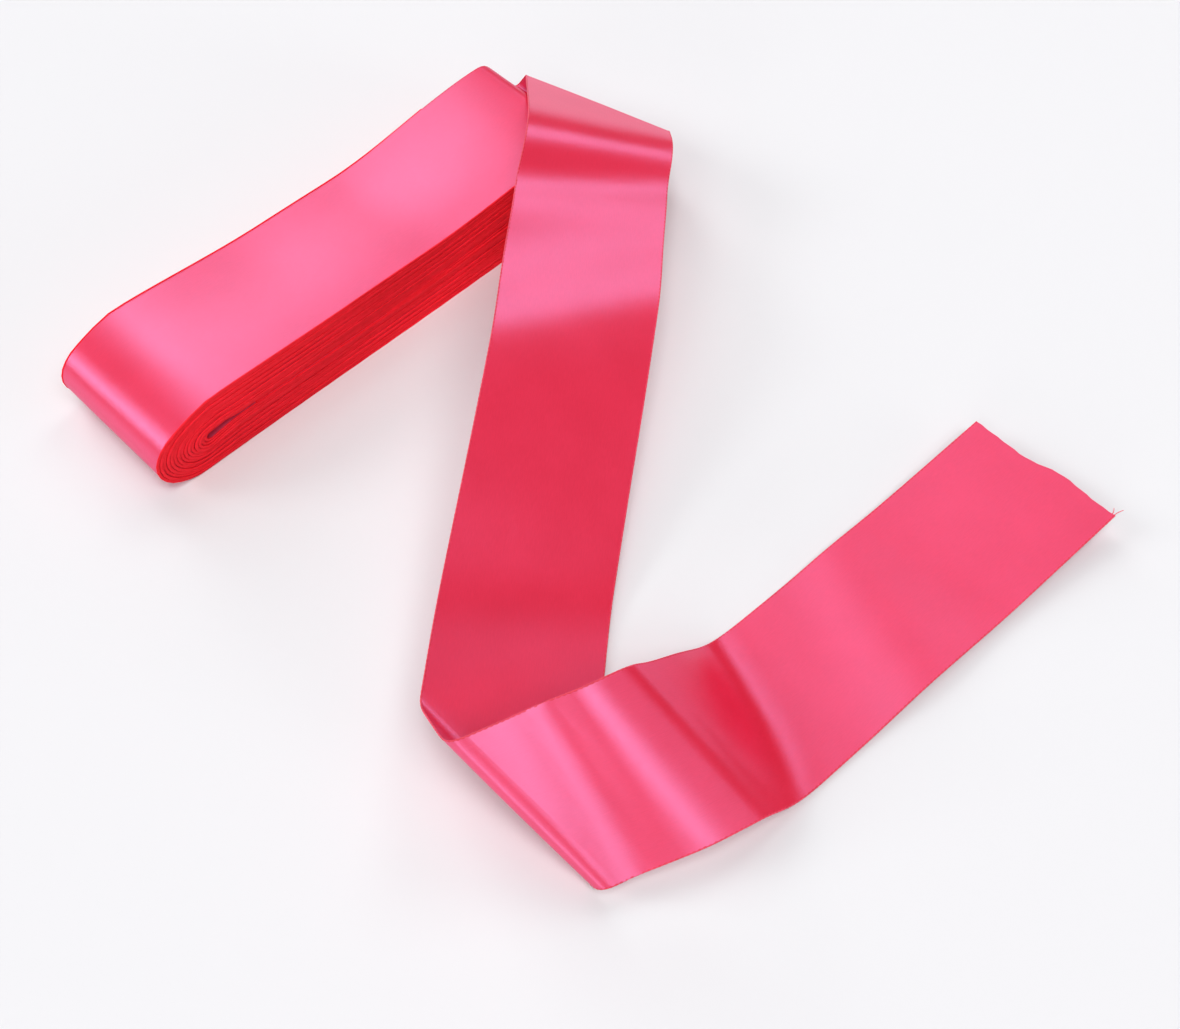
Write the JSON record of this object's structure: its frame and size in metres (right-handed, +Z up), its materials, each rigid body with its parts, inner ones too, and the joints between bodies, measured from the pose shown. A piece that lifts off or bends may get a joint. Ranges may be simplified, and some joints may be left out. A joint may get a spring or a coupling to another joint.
{
  "type": "rhythmic gymnastics ribbon",
  "caption": "Long satin rhythmic gymnastics ribbon, wound flat into a bundle, with its free end folded back over it and laid out in soft waves.",
  "frame": {"origin": "middle of the flat underside of the wound bundle", "axes": "+X along the bundle, towards the end where the outermost turn leaves it; +Y across the band, away from the side that the folded free end comes forward on; +Z up"},
  "size_m": [0.2082, 0.2544, 0.0423],
  "materials": {
    "satin": "satin",
    "selvedge": "satin",
    "thread": "matte",
    "eyelet": "polished"
  },
  "bodies": {
    "bundle": {"wound_turns": "satin", "wound_turns_far_selvedge": "selvedge", "wound_turns_near_selvedge": "selvedge", "lead_out": "satin", "lead_out_far_selvedge": "selvedge", "lead_out_near_selvedge": "selvedge", "upper_fold": "satin", "upper_fold_far_selvedge": "selvedge", "upper_fold_near_selvedge": "selvedge", "stick_end_hem": "satin", "stick_end_stitching": "thread", "stick_end_eyelet": "eyelet"},
    "middle_run": {"middle_run": "satin", "middle_run_far_selvedge": "selvedge", "middle_run_near_selvedge": "selvedge", "lower_fold": "satin", "lower_fold_far_selvedge": "selvedge", "lower_fold_near_selvedge": "selvedge"},
    "free_run": {"free_run": "satin", "free_run_far_selvedge": "selvedge", "free_run_near_selvedge": "selvedge"}
  },
  "joints": [
    {"name": "upper_fold_bend", "type": "hinge", "parent": "bundle", "child": "middle_run", "pos_m": [0.10042, -0.00335, 0.01243], "axis": [-0.2097, 0.9728, 0.098], "range_deg": [0, 120], "deforming": ["upper_fold", "upper_fold_far_selvedge", "upper_fold_near_selvedge"]},
    {"name": "lower_fold_bend", "type": "hinge", "parent": "middle_run", "child": "free_run", "pos_m": [-0.09217, -0.17323, 0.01317], "axis": [0.0784, -0.9333, -0.3504], "range_deg": [0, 120], "deforming": ["lower_fold", "lower_fold_far_selvedge", "lower_fold_near_selvedge"]}
  ]
}
